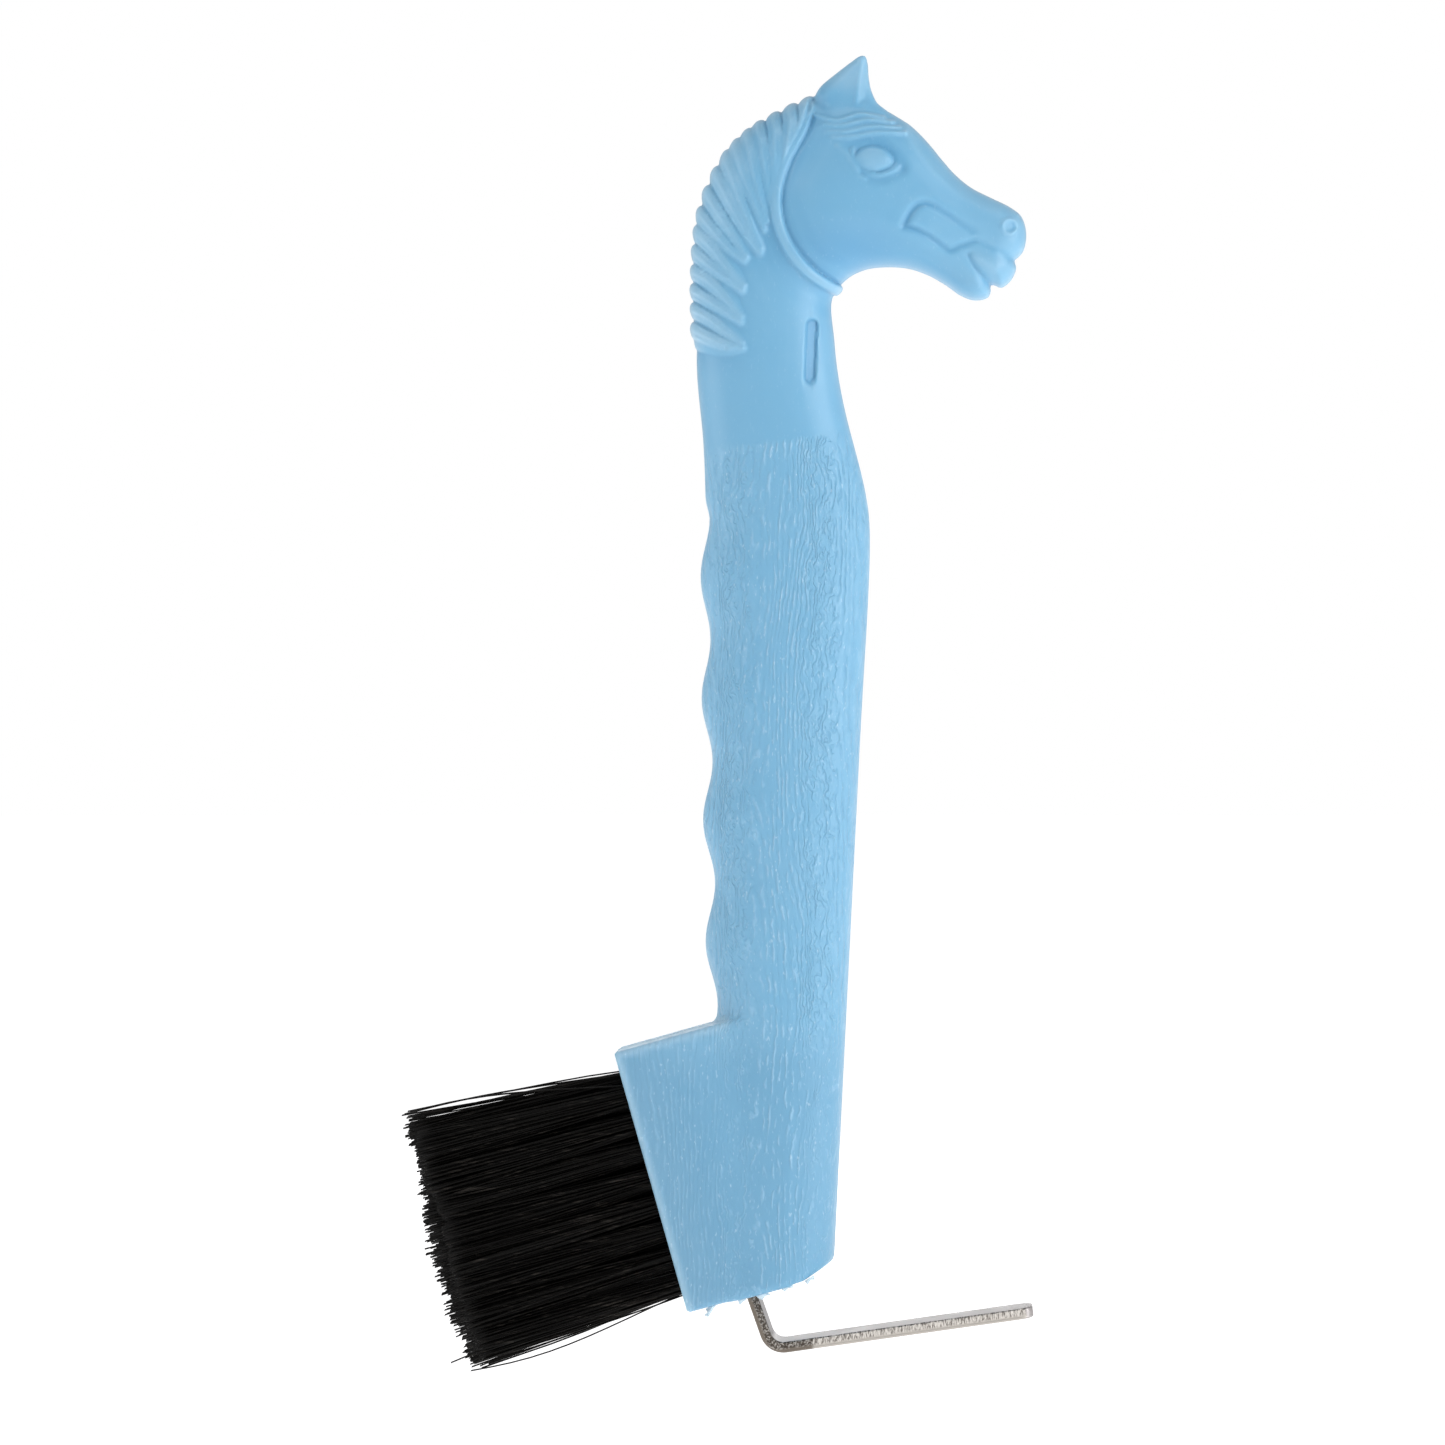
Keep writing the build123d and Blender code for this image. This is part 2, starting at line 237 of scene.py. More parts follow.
def head_maps(x, z):
    """Where a point lies between outline and middle (1 at the outline), and its depth."""
    ring = smooth_line(HEAD_OUTLINE, 6, closed=True)
    d = ring_distance(x, z, ring)
    weight = np.zeros(x.shape)
    depth = np.zeros(x.shape)
    rounding = np.zeros(x.shape)
    for px, pz, half_depth, round_width in HEAD_DEPTHS:
        w = np.exp(-((x - px) ** 2 + (z - pz) ** 2) / (2 * DEPTH_REACH ** 2)) + 1e-9
        weight += w
        depth += w * half_depth
        rounding += w * round_width
    depth /= weight
    rounding /= weight
    return np.maximum(1 + d / rounding, 0), depth, 1 / rounding


def table_at(table, z):
    """A smooth curve through (z, value) rows."""
    line = smooth_line(table, 8)
    order = np.argsort(line[:, 0])
    return np.interp(z, line[order, 0], line[order, 1])


def stem_maps(x, z):
    """The same maps for the stem, whose sections across z are ovals."""
    front = table_at(STEM_FRONT, z)
    back = table_at(STEM_BACK, z)
    fingers = smoothstep(43, 38, z) * smoothstep(-50, -44, z)
    rise = FINGER_RISE * np.cos(2 * np.pi * (FINGER_TOP - z) / FINGER_PITCH) * fingers
    back = back - rise * (1 - 0.15 * smoothstep(-20, 30, z))
    half = (front - back) / 2
    u = np.abs(x - (front + back) / 2) / half
    return u, table_at(STEM_DEPTH, z), 1 / half


# ---------------------------------------------------------------- handle: relief

def ridge(x, z, points, width, height, taper=(1.0, 1.0), rounded=False):
    """Relief along a line: a soft or a rounded ridge, or a groove if height is negative."""
    line = smooth_line(points)
    reach = 3.2 * width
    near = ((x > line[:, 0].min() - reach) & (x < line[:, 0].max() + reach)
            & (z > line[:, 1].min() - reach) & (z < line[:, 1].max() + reach))
    out = np.zeros(x.shape)
    if not near.any():
        return out
    d, s = line_distance(x[near], z[near], line)
    swell = taper[0] + (taper[1] - taper[0]) * s
    if rounded:
        profile = np.sqrt(np.clip(1 - (d / width) ** 2, 0, 1)) * smoothstep(width, 0.75 * width, d)
    else:
        profile = np.exp(-(d / width) ** 2)
    out[near] = height * swell * profile
    return out


def mane_lock_points(index):
    """The four points of one lock, between the key locks before and after it."""
    keys = sorted(KEY_LOCKS)
    low = max(k for k in keys if k <= index)
    high = min(k for k in keys if k >= index)
    share = 0 if high == low else (index - low) / (high - low)
    points = np.array(KEY_LOCKS[low]) * (1 - share) + np.array(KEY_LOCKS[high]) * share
    points[2] += 0.5 * (np.array(LOCK_TIPS[index]) - points[3])
    points[3] = LOCK_TIPS[index]
    return points


def mane_relief(x, z):
    """Rounded locks side by side, each thinning to a tip on the neck."""
    rng = np.random.default_rng(RNG_SEED)
    total = np.zeros(x.shape)
    for index in range(MANE_LOCKS):
        points = mane_lock_points(index)
        points[1:3] += rng.normal(0, 0.14, (2, 2))
        line = smooth_line(points)
        d, s = line_distance(x, z, line)
        width = LOCK_WIDTH * (1 - 0.70 * s ** 2.1)
        height = LOCK_HEIGHT * (1 - 0.70 * s ** 1.2)
        bump = height * np.sqrt(np.clip(1 - (d / width) ** 2, 0, 1))
        under = 0.58 * height * np.sqrt(np.clip(1 - (d / (1.7 * width)) ** 2, 0, 1))
        strand = 0.10 * np.cos(2 * np.pi * d / (0.62 * width))
        strand *= smoothstep(1.0, 0.7, d / width) * smoothstep(0.03, 0.2, s)
        tip = 0.14 * np.exp(-((x - line[-1, 0]) ** 2 + (z - line[-1, 1]) ** 2) / 0.30)
        total = np.maximum(total, np.maximum(bump + strand * (bump > 0), under) + tip)
    return total


# Lines of the marks on head and neck, and the top of the edge between mane and ear.
MANE_TOP = (6.8, 110.4)
THROAT_BAND = [
    (4.1, 107.4), (2.7, 103.4), (0.2, 98.6), (-1.3, 93.5), (-1.1, 88.4), (0.8, 83.8),
    (4.2, 79.7), (8.6, 76.9), (9.9, 76.2),
]
CHEEK_EDGE = [
    (4.8, 105.6), (3.6, 102.9), (1.0, 98.2), (-0.35, 93.4), (-0.1, 88.6), (1.85, 84.3),
    (5.1, 80.5), (8.6, 78.0),
]
EAR_ROOT = [(4.5, 109.2), (5.0, 107.8), (5.2, 106.8)]
FORELOCK = [
    [(5.2, 106.0), (9.0, 105.2), (12.4, 106.2), (16.6, 105.6)],
    [(6.4, 104.5), (9.4, 104.3), (13.6, 105.2), (18.2, 104.8)],
    [(7.3, 103.3), (10.4, 103.3), (14.5, 104.1), (19.2, 103.9)],
    [(8.0, 102.4), (11.2, 102.4), (15.2, 103.1), (20.2, 103.0)],
]
EYE_CENTRE = (14.95, 98.8)
EYE_AXES = (3.25, 2.2)
EYE_SLANT = math.radians(-7)
LID_RIM = [
    (11.4, 100.4), (11.55, 99.1), (12.2, 97.8), (13.3, 96.9), (14.7, 96.3), (16.4, 96.2),
    (18.2, 96.8), (19.0, 97.5),
]
LOWER_LID = [(8.8, 100.9), (9.7, 100.1), (10.8, 98.9), (11.6, 97.6), (12.4, 96.2), (13.4, 95.4)]
UNDER_EYE = [(12.8, 96.5), (14.3, 95.5), (16.4, 95.3), (18.3, 96.0), (19.8, 96.8)]
BROW_HOLLOW = [(11.0, 100.6), (12.6, 101.6), (14.6, 101.8), (16.8, 101.1), (18.6, 99.5), (19.6, 97.6)]
BRIDGE = [
    (20.2, 103.6), (21.3, 101.2), (23.3, 98.4), (26.6, 95.0), (29.2, 92.8), (32.4, 90.9),
    (35.4, 89.6),
]
PANEL_TOP = [
    (20.0, 87.6), (20.9, 89.5), (22.3, 91.0), (24.0, 91.2), (26.2, 90.0), (28.6, 88.4),
    (31.4, 86.6),
]
PANEL_FOOT = [
    (20.0, 87.6), (21.9, 87.0), (24.0, 85.9), (26.0, 84.4), (27.6, 83.5), (29.2, 84.1),
    (31.6, 85.0),
]
NOSTRIL = (37.6, 87.3)
NOSTRIL_RADIUS = 1.25
MOUTH = [(30.8, 82.6), (31.7, 80.8), (33.1, 79.1), (34.6, 77.5), (35.2, 76.8)]
LIP_CREASE = [(32.4, 84.8), (34.6, 83.8), (36.8, 82.6), (38.6, 81.6), (39.4, 81.1)]
LIP_SWELL = [(31.7, 82.2), (33.2, 81.6), (35.0, 80.4)]
NECK_SLOT = [(4.55, 71.1), (4.2, 62.2)]
NECK_SLOT_HALF = 0.95
NECK_SLOT_DEPTH = 0.6
SLOT_WITNESS = [(4.75, 73.9), (4.7, 72.3)]


def eye_relief(x, z):
    """An eyeball in its socket, a lid rim below and behind it and a hollow under the brow."""
    cx, cz = EYE_CENTRE
    c, s = math.cos(EYE_SLANT), math.sin(EYE_SLANT)
    ex, ez = (x - cx) * c + (z - cz) * s, -(x - cx) * s + (z - cz) * c
    r = (np.abs(ex / EYE_AXES[0]) ** 1.8 + np.abs(ez / EYE_AXES[1]) ** 1.8) ** (1 / 1.8)
    ball = 0.85 * np.sqrt(np.clip(1 - r ** 2, 0, 1))
    socket = -0.45 * np.exp(-((np.maximum(r, 0.9) - 0.98) / 0.17) ** 2)
    marks = ridge(x, z, LID_RIM, 0.27, 0.42, (1.0, 0.4))
    marks += ridge(x, z, LOWER_LID, 0.36, 0.40, (0.6, 0.6))
    marks += ridge(x, z, UNDER_EYE, 0.75, -0.28, (0.8, 0.8))
    marks += ridge(x, z, BROW_HOLLOW, 0.95, -0.35, (0.6, 1.0))
    return ball + socket + marks


def face_relief(x, z):
    """Marks on the head other than the mane."""
    relief = ridge(x, z, THROAT_BAND, 1.10, 0.72, (0.8, 1.15), rounded=True)
    relief += ridge(x, z, CHEEK_EDGE, 0.42, -0.30)
    relief += ridge(x, z, EAR_ROOT, 0.9, 0.75, (1.0, 0.4))
    for strand in FORELOCK:
        relief += ridge(x, z, strand, 0.31, 0.58, (0.5, 1.0))
    relief += eye_relief(x, z)
    relief += ridge(x, z, BRIDGE, 0.7, 0.30, (1.0, 0.5))
    relief += np.minimum(ridge(x, z, PANEL_TOP, 0.62, -0.62, (1.0, 0.35)),
                         ridge(x, z, PANEL_FOOT, 0.52, -0.58, (1.0, 0.5)))
    relief += np.minimum(ridge(x, z, MOUTH, 0.50, -0.62, (0.7, 0.7)),
                         ridge(x, z, LIP_CREASE, 0.55, -0.42, (0.4, 0.8)))
    relief += ridge(x, z, LIP_SWELL, 0.9, 0.35)
    r = np.hypot(x - NOSTRIL[0], z - NOSTRIL[1])
    relief += 0.24 * np.exp(-((r - NOSTRIL_RADIUS) / 0.28) ** 2) - 0.32 * np.exp(-(r / 0.7) ** 2)
    relief += 0.12 * np.exp(-((x - NOSTRIL[0]) ** 2 + (z - NOSTRIL[1] + 0.1) ** 2) / 0.08)
    d, _ = line_distance(x, z, np.array(NECK_SLOT))
    relief -= NECK_SLOT_DEPTH * smoothstep(NECK_SLOT_HALF + 0.18, NECK_SLOT_HALF - 0.22, d)
    relief += ridge(x, z, SLOT_WITNESS, 0.2, 0.10)
    return relief


# ---------------------------------------------------------------- handle: implicit form

MAP_STEP = 0.15
MAP_X = np.arange(-33.0, 45.0, MAP_STEP)
MAP_Z = np.arange(-98.0, 120.0, MAP_STEP)
HEAD_FROM_Z, HEAD_FULL_Z = 62.5, 67.5


def build_maps():
    """Side-view maps: place across the outline, depth, slope, relief and block distance."""
    x, z = np.meshgrid(MAP_X, MAP_Z, indexing="ij")
    u, depth, slope = stem_maps(x, z)
    relief = np.zeros(x.shape)
    top = MAP_Z > 58
    share = smoothstep(HEAD_FROM_Z, HEAD_FULL_Z, z[:, top])
    hu, hdepth, hslope = head_maps(x[:, top], z[:, top])
    u[:, top] += share * (hu - u[:, top])
    depth[:, top] += share * (hdepth - depth[:, top])
    slope[:, top] += share * (hslope - slope[:, top])
    near = depth[:, top] * np.clip(1 - u[:, top] ** STEM_POWER, 0, 1) ** (1 / STEM_POWER)
    px, pz = seen_place(x[:, top], z[:, top], near)
    mane = mane_relief(px, pz) * ridge_mask(px, pz)
    face = face_relief(px, pz)
    relief[:, top] = np.where(mane > 0.02, np.maximum(face, mane), face)
    block = ring_distance(x, z, block_outline())
    return np.stack([u, depth, slope, relief, block], axis=-1).astype(np.float32)


def seen_place(x, z, near):
    """Where the camera sees a point that lies `near` mm in front of the middle plane."""
    closer = 1 / (1 - near / (CAMERA_DISTANCE / MM))
    aim_x, aim_z = AIM[0] / MM, AIM[2] / MM
    return (aim_x + (x - aim_x) * closer - near * math.sin(CAMERA_TURN),
            aim_z + (z - aim_z) * closer - near * math.sin(CAMERA_RAISE))


def ridge_mask(x, z):
    """1 behind the throat band, where the mane lies, and 0 in front of it."""
    band = np.vstack([[MANE_TOP], smooth_line(THROAT_BAND)])
    order = np.argsort(band[:, 1])
    edge = np.interp(z, band[order, 1], band[order, 0])
    return smoothstep(0.3, -0.5, x - edge)


def block_outline():
    """Corners of the brush block from the side; its inner edge is inside the stem."""
    up = np.array([-math.sin(BLOCK_LEAN), math.cos(BLOCK_LEAN)])
    inward = np.array([math.cos(BLOCK_LEAN), math.sin(BLOCK_LEAN)])
    high = BLOCK_LOW + up * BLOCK_FACE
    top_inner = high + inward * 26.0
    return np.array([BLOCK_LOW, high, top_inner, (2.0, -60.0), (1.0, BLOCK_TOE[1] - 0.63)])


def sample_maps(maps, x, z):
    """Bilinear values of all maps."""
    fx = np.clip((x - MAP_X[0]) / MAP_STEP, 0, len(MAP_X) - 1.001)
    fz = np.clip((z - MAP_Z[0]) / MAP_STEP, 0, len(MAP_Z) - 1.001)
    i, j = fx.astype(int), fz.astype(int)
    a, b = (fx - i)[..., None], (fz - j)[..., None]
    low = maps[i, j] * (1 - b) + maps[i, j + 1] * b
    high = maps[i + 1, j] * (1 - b) + maps[i + 1, j + 1] * b
    return low * (1 - a) + high * a


def oval_field(u, v, u_slope, v_slope, power):
    """About the distance to an oval u^p + v^p = 1."""
    g = np.maximum((u ** power + v ** power), 1e-4) ** (1 / power)
    steep = np.hypot(u ** (power - 1) * u_slope, v ** (power - 1) * v_slope) / g ** (power - 1)
    return (g - 1) / np.maximum(steep, 0.035)


def ear_field(x, y, z):
    """One leaf-shaped ear on each side, joined at the root, hollow towards the front."""
    ring = smooth_line(EAR_OUTLINE, 4, closed=True)
    near = (x > 3) & (x < 19) & (z > 101) & (z < 118.5)
    out = np.full(x.shape, 9.0)
    if not near.any():
        return out
    x, y, z = x[near], y[near], z[near]
    d = ring_distance(x, z, ring)
    height = smoothstep(107, 116, z)
    half_depth = EAR_BASE_DEPTH + (EAR_TIP_DEPTH - EAR_BASE_DEPTH) * height
    u = np.maximum(1 + d / (EAR_ROUNDING * (1 - 0.55 * height)), 0)
    v = np.abs(y - EAR_CENTRE_Y * (1 - 0.1 * height)) / half_depth
    body = oval_field(u, v, 1 / EAR_ROUNDING, 1 / half_depth, 2.0)
    hollow = ridge(x, z, EAR_FOLD, 0.75, 0.34, (0.5, 1.3))
    lip = ridge(x, z, EAR_LIP, 0.35, 0.20, (0.6, 1.0))
    outer = smoothstep(-0.6, 0.6, y - EAR_CENTRE_Y)
    out[near] = body + (hollow - lip) * outer
    return out


def handle_field(maps, x, y, z):
    """The whole moulding; negative inside."""
    y = np.abs(y)
    u, depth, slope, relief, block = np.moveaxis(sample_maps(maps, x, z), -1, 0)
    body = oval_field(u, y / depth, slope, 1 / depth, STEM_POWER) - relief
    toe = BLOCK_HEEL - BLOCK_TOE
    bevel = ((x - BLOCK_TOE[0]) * toe[1] - (z - BLOCK_TOE[1]) * toe[0]) / math.hypot(*toe)
    floor_way = BLOCK_TOE - BLOCK_LOW
    under = ((x - BLOCK_TOE[0]) * floor_way[1] - (z - BLOCK_TOE[1]) * floor_way[0]) / math.hypot(*floor_way)
    body = smooth_max(body, np.maximum(bevel, under), TOE_JOIN)
    q1, q2 = block + BLOCK_EDGE, y - BLOCK_HALF_DEPTH + BLOCK_EDGE
    slab = np.hypot(np.maximum(q1, 0), np.maximum(q2, 0)) + np.minimum(np.maximum(q1, q2), 0) - BLOCK_EDGE
    whole = smooth_min(body, slab, BLOCK_JOIN)
    whole = smooth_min(whole, ear_field(x, y, z), EAR_JOIN)
    return whole - SEAM_HEIGHT * np.exp(-(y / SEAM_WIDTH) ** 2)


# ---------------------------------------------------------------- handle: mesh

GRID_X, GRID_Y = 0.34, 0.50
HEAD_Z_STEP, GRIP_Z_STEP = 0.34, 1.2
FINE_FROM_Z = 62.0


def grid_axes():
    """Grid planes: even across, and finer in height on the head than on the grip."""
    low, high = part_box("handle")
    xs = np.arange(low.x / MM - 1.5, high.x / MM + 1.5, GRID_X)
    half = np.arange(GRID_Y / 2, high.y / MM + 1.8, GRID_Y)
    ys = np.concatenate([-half[::-1], half])
    coarse = np.arange(low.z / MM - 1.5, FINE_FROM_Z, GRIP_Z_STEP)
    fine = np.arange(FINE_FROM_Z, high.z / MM + 1.5, HEAD_Z_STEP)
    return xs, ys, np.concatenate([coarse, fine])


def surface_nets(xs, ys, zs, field):
    """Vertices and quads of the zero surface of a field on a rectilinear grid."""
    solid = field < 0
    corners = [(i, j, k) for i in (0, 1) for j in (0, 1) for k in (0, 1)]
    nx, ny, nz = (n - 1 for n in field.shape)

    def shifted(a, c):
        return a[c[0]:c[0] + nx, c[1]:c[1] + ny, c[2]:c[2] + nz]

    count = sum(shifted(solid, c).astype(np.int8) for c in corners)
    cell = np.argwhere((count > 0) & (count < 8))
    value = np.stack([field[tuple((cell + c).T)] for c in corners], 1)
    place = np.stack([np.stack([xs[cell[:, 0] + c[0]], ys[cell[:, 1] + c[1]], zs[cell[:, 2] + c[2]]], 1)
                      for c in corners], 1)
    total = np.zeros((len(cell), 3))
    hits = np.zeros(len(cell))
    for m in range(8):
        for n in range(m + 1, 8):
            if sum(p != q for p, q in zip(corners[m], corners[n])) != 1:
                continue
            a, b = value[:, m], value[:, n]
            cross = (a < 0) != (b < 0)
            t = np.where(cross, a / np.where(cross, a - b, 1), 0)[:, None]
            total += np.where(cross[:, None], place[:, m] + t * (place[:, n] - place[:, m]), 0)
            hits += cross
    vertices = total / hits[:, None]
    index = np.full((nx, ny, nz), -1, np.int64)
    index[tuple(cell.T)] = np.arange(len(cell))
    quads = []
    for axis in range(3):
        step = np.eye(3, dtype=int)[axis]
        side_a, side_b = np.eye(3, dtype=int)[(axis + 1) % 3], np.eye(3, dtype=int)[(axis + 2) % 3]
        first = solid[:nx, :ny, :nz]
        second = solid[step[0]:step[0] + nx, step[1]:step[1] + ny, step[2]:step[2] + nz]
        edge = np.argwhere(first != second)
        edge = edge[(edge @ side_a > 0) & (edge @ side_b > 0)]
        ring = [edge - side_a - side_b, edge - side_b, edge, edge - side_a]
        quad = np.stack([index[tuple(r.T)] for r in ring], 1)
        flip = ~first[tuple(edge.T)]
        quad[flip] = quad[flip][:, ::-1]
        quads.append(quad[(quad >= 0).all(1)])
    return vertices, np.vstack(quads)


def without_crossings(field):
    """Fills grid squares whose solid corners meet only on a diagonal, so no edge of the
    surface is shared by four faces."""
    for _ in range(3):
        for axes in ((0, 1), (1, 2), (0, 2)):
            f = np.moveaxis(field, axes, (0, 1))
            solid = f < 0
            low, high = solid[:-1, :-1], solid[1:, 1:]
            left, right = solid[:-1, 1:], solid[1:, :-1]
            crossing = (low == high) & (left == right) & (low != left)
            for i, j in ((0, 0), (0, 1), (1, 0), (1, 1)):
                part = f[i:f.shape[0] - 1 + i, j:f.shape[1] - 1 + j]
                part[crossing] = np.minimum(part[crossing], -0.001)
    return field


def settle(vertices, maps, rounds=3):
    """Moves vertices onto the surface along its slope."""
    e = 0.06
    for _ in range(rounds):
        x, y, z = vertices.T
        f = handle_field(maps, x, y, z)
        grad = np.stack([
            handle_field(maps, x + e, y, z) - handle_field(maps, x - e, y, z),
            handle_field(maps, x, y + e, z) - handle_field(maps, x, y - e, z),
            handle_field(maps, x, y, z + e) - handle_field(maps, x, y, z - e),
        ], 1) / (2 * e)
        step = f[:, None] * grad / np.maximum((grad ** 2).sum(1), 0.05)[:, None]
        length = np.linalg.norm(step, axis=1, keepdims=True)
        vertices = vertices - step * np.minimum(1, 0.35 / np.maximum(length, 1e-9))
    return vertices


def mesh_object(name, vertices, faces, smooth=True):
    """A mesh object in metres from millimetre vertices."""
    mesh = bpy.data.meshes.new(name)
    mesh.from_pydata((np.asarray(vertices) * MM).tolist(), [], [list(f) for f in faces])
    mesh.validate()
    mesh.update()
    if smooth:
        mesh.polygons.foreach_set("use_smooth", [True] * len(mesh.polygons))
    piece = bpy.data.objects.new(name, mesh)
    bpy.context.scene.collection.objects.link(piece)
    return piece


# Torn bits of flash under the block: corners (x, z) of thin flakes.
FLASH = [
    [(-12.9, -92.9), (-11.9, -92.2), (-11.0, -92.1), (-11.6, -92.9), (-12.4, -94.2),
     (-13.1, -93.9), (-12.5, -93.4)],
    [(-7.5, -91.2), (-6.4, -90.7), (-6.1, -91.3), (-6.5, -91.5), (-7.2, -92.2)],
    [(-4.5, -90.6), (-2.8, -90.0), (-2.0, -90.4), (-2.9, -90.6), (-3.4, -91.3), (-4.1, -91.0)],
    [(-0.4, -89.3), (1.5, -88.7), (1.8, -89.2), (0.9, -89.3), (0.3, -89.9)],
    [(3.6, -88.1), (5.2, -87.1), (5.3, -87.9), (4.6, -87.9), (4.1, -88.7)],
]
FLASH_HALF = 0.10
FLASH_Y = -6.7


def flash_flakes(start):
    """Vertices and faces of the flakes, numbered on from the moulding's own."""
    vertices, faces = [], []
    for flake in FLASH:
        n, base = len(flake), start + len(vertices)
        vertices += [(x, FLASH_Y + side * FLASH_HALF, z) for side in (-1, 1) for x, z in flake]
        faces += [tuple(base + i for i in range(n))[::-1], tuple(base + n + i for i in range(n))]
        faces += [(base + i, base + (i + 1) % n, base + n + (i + 1) % n, base + n + i) for i in range(n)]
    return vertices, faces


def painted_glow_and_shade(maps, vertices):
    """Painted light on the tinted plastic: 1 where glow of thin parts and highlight on raised relief
    are painted pale, below 0 where shade is painted into grooves and the lower cheek. The flash gets 2."""
    x, y, z = vertices.T
    ring = [(math.cos(t), math.sin(t)) for t in np.linspace(0, 2 * math.pi, 8, endpoint=False)]
    near = [(reach * dx, reach * dz) for reach in (1.8, 4.5) for dx, dz in ring]
    around = sum(sample_maps(maps, x + dx, z + dz)[..., 3] for dx, dz in near) / len(near)
    # Raised relief is painted paler as highlight and hollows darker as shade, the shade weighted more.
    raised = sample_maps(maps, x, z)[..., 3] - around
    raised = np.where(raised < 0, 1.25, 0.75) * raised
    # Painted glow along the outline, where the plastic is thin.
    edge = 0.12 * smoothstep(6.5, 0.5, np.abs(y))
    # Painted shade over the lower cheek.
    cheek = -0.60 * np.exp(-((x - 10.0) / 9.0) ** 2 - ((z - 83.5) / 4.5) ** 2)
    # Painted glow on the muzzle, the ear's tip and the mane.
    muzzle = 0.14 * smoothstep(27.0, 36.0, x) * (z > FINE_FROM_Z)
    ear = 0.35 * smoothstep(107.5, 112.0, z)
    mane = 0.22 * smoothstep(-1.0, -9.0, x) * smoothstep(66.0, 68.0, z)
    # Painted glow along the brush block's front and top rim.
    high = BLOCK_LOW + BLOCK_FACE * np.array([-math.sin(BLOCK_LEAN), math.cos(BLOCK_LEAN)])
    rim_line = np.array([BLOCK_LOW, high, (-10.0, -45.2)])
    rim, _ = line_distance(x, z, rim_line)
    block = 0.70 * smoothstep(1.8, 0.4, rim) + 0.12 * smoothstep(11.0, 2.0, rim)
    return np.clip(edge + cheek + muzzle + ear + mane + block + raised, -1, 1)


def make_handle():
    """The whole moulding as one mesh, with its flash and its attribute of painted glow and shade."""
    maps = build_maps()
    xs, ys, zs = grid_axes()
    gx, gz = np.meshgrid(xs, zs, indexing="ij")
    half = ys[ys > 0]
    upper = np.stack([handle_field(maps, gx, np.full(gx.shape, y), gz) for y in half], axis=1)
    field = without_crossings(np.concatenate([upper[:, ::-1], upper], axis=1))
    vertices, quads = surface_nets(xs, ys, zs, field)
    vertices = settle(vertices, maps)
    more_vertices, more_faces = flash_flakes(len(vertices))
    piece = mesh_object("handle_moulding", np.vstack([vertices, more_vertices]),
                        quads[:, ::-1].tolist() + more_faces)
    # Painted glow and shade per vertex; the flash gets 2 for its whitish colour.
    glow_and_shade = np.concatenate([painted_glow_and_shade(maps, vertices), np.full(len(more_vertices), 2.0)])
    piece.data.attributes.new("glow_and_shade", "FLOAT", "POINT").data.foreach_set("value", glow_and_shade)
    return piece


# ---------------------------------------------------------------- bristles

OUT_OF_FACE = Vector((-math.cos(BLOCK_LEAN), 0, -math.sin(BLOCK_LEAN)))
UP_THE_FACE = Vector((-math.sin(BLOCK_LEAN), 0, math.cos(BLOCK_LEAN)))
ACROSS = Vector((0, 1, 0))
TUFT_ROWS, TUFTS_PER_ROW = 3, 8
TUFT_PITCH, TUFT_ROW_PITCH = 4.64, 4.7
FIRST_TUFT = 4.6
ROW_STAGGER = 2.32
TUFT_FAN, TUFT_ROW_SPLAY = math.radians(2.4), math.radians(1.6)
TUFT_LENGTH = 37.7
HOLE_DEPTH = 6.5
ROOT_RADIUS, TIP_RADIUS = 1.32, 2.75
FILAMENTS = 96
FILAMENT_RADIUS = 0.15
FILAMENT_SIDES, FILAMENT_RINGS = 5, 8
# Bent filaments away from the bundle: (row, place, end, sideways bow) in mm.
STRAYS = [
    (1, 8, (-62.3, -5.2, -60.4), 1.2),
    (1, 1, (-52.2, -5.0, -103.6), -1.6),
    (1, 1, (-55.4, -6.6, -102.1), 0.9),
    (2, 8, (-64.0, 0.8, -61.3), 0.7),
    (3, 1, (-53.6, 5.8, -102.9), -0.8),
    (3, 8, (-63.4, 6.3, -62.0), 0.5),
]


def tuft_axis(row, place):
    """Where a tuft leaves the block, and its direction."""
    foot = Vector((BLOCK_LOW[0], (row - 2) * TUFT_ROW_PITCH, BLOCK_LOW[1]))
    along = FIRST_TUFT + (place - 1) * TUFT_PITCH + (row == 2) * ROW_STAGGER
    foot = foot + UP_THE_FACE * along
    out = OUT_OF_FACE + UP_THE_FACE * math.tan(TUFT_FAN * (2 * along / BLOCK_FACE - 1))
    out = out + ACROSS * math.tan(TUFT_ROW_SPLAY * (row - 2))
    return np.array(foot), np.array(out.normalized())


def filament_rings(path, radius, rng):
    """Ring vertices and faces of one thin tube with closed, slanted ends."""
    tangent = np.gradient(path, axis=0)
    tangent /= np.linalg.norm(tangent, axis=1)[:, None]
    side = np.cross(tangent, (0.3, 0.9, 0.2))
    side /= np.linalg.norm(side, axis=1)[:, None]
    other = np.cross(tangent, side)
    turn = np.linspace(0, 2 * math.pi, FILAMENT_SIDES, endpoint=False) + rng.uniform(0, 6.28)
    ring = (np.cos(turn)[None, :, None] * side[:, None] + np.sin(turn)[None, :, None] * other[:, None])
    vertices = path[:, None] + ring * radius
    vertices[-1] += tangent[-1] * (np.cos(turn) * rng.uniform(0, 1.2) * radius)[:, None]
    n, m = len(path), FILAMENT_SIDES
    faces = [(i * m + j, i * m + (j + 1) % m, (i + 1) * m + (j + 1) % m, (i + 1) * m + j)
             for i in range(n - 1) for j in range(m)]
    faces += [tuple(range(m))[::-1], tuple((n - 1) * m + j for j in range(m))]
    return vertices.reshape(-1, 3), faces


